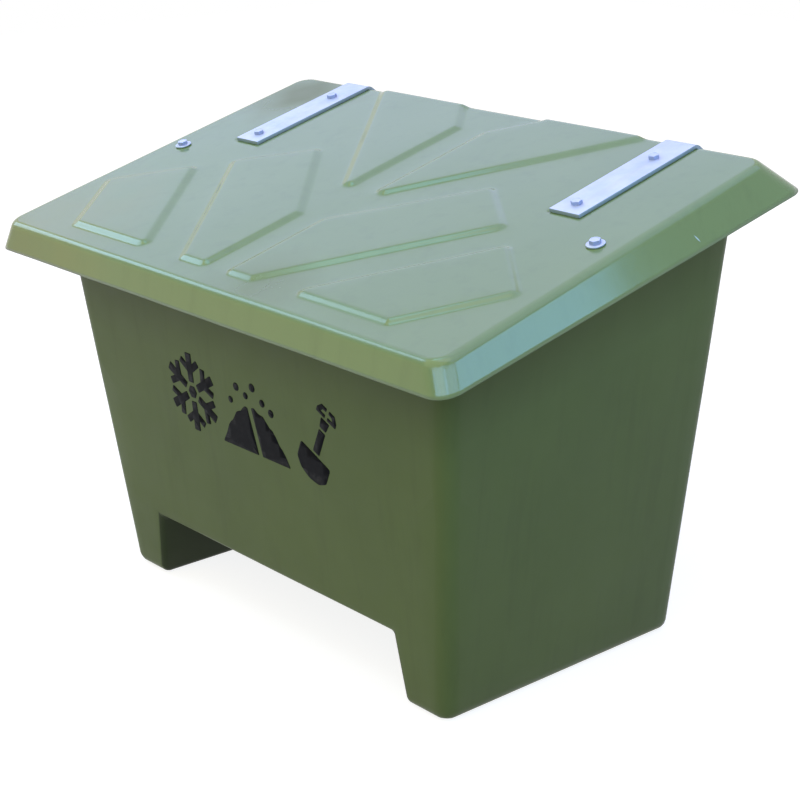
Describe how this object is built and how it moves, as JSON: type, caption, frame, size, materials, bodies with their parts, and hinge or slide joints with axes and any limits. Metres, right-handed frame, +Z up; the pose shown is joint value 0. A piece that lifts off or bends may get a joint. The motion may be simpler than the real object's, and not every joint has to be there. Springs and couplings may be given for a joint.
{
  "type": "grit salt bin",
  "caption": "Glass-fibre grit bin: a tapered tub on two hollow feet with a fork channel between them, and a sloping lid with raised panels on two strap hinges.",
  "frame": {"origin": "on the ground, under the middle of the bin's outer box", "axes": "+Z up; the front, which people stand at, faces -Y; +X to the right seen from the front"},
  "size_m": [0.9648, 0.6272, 0.6791],
  "materials": {
    "tub_laminate": "satin green gelcoat over hand-laid laminate",
    "lid_laminate": "satin green gelcoat with a fine orange-peel texture",
    "galvanised_steel": "zinc-plated, dull",
    "buffer_rubber": "matte"
  },
  "bodies": {
    "tub": {"tub_shell": "tub_laminate", "hinge_leaf_left": "galvanised_steel", "hinge_leaf_right": "galvanised_steel", "hinge_pin_left": "galvanised_steel", "hinge_pin_right": "galvanised_steel", "pin_washers": "galvanised_steel", "split_pins": "galvanised_steel", "leaf_bolts": "galvanised_steel", "leaf_washers": "galvanised_steel", "leaf_nuts": "galvanised_steel"},
    "lid": {"lid_shell": "lid_laminate", "hinge_strap_left": "galvanised_steel", "hinge_strap_right": "galvanised_steel", "strap_bolts": "galvanised_steel", "strap_washers": "galvanised_steel", "strap_nuts": "galvanised_steel", "side_bolts": "galvanised_steel", "side_washers": "galvanised_steel", "lid_buffer_left": "buffer_rubber", "lid_buffer_right": "buffer_rubber"}
  },
  "joints": [
    {"name": "lid_hinge", "type": "hinge", "parent": "tub", "child": "lid", "pos_m": [0, 0.30326, 0.62051], "axis": [-1, 0, 0], "range_deg": [0, 110]}
  ]
}
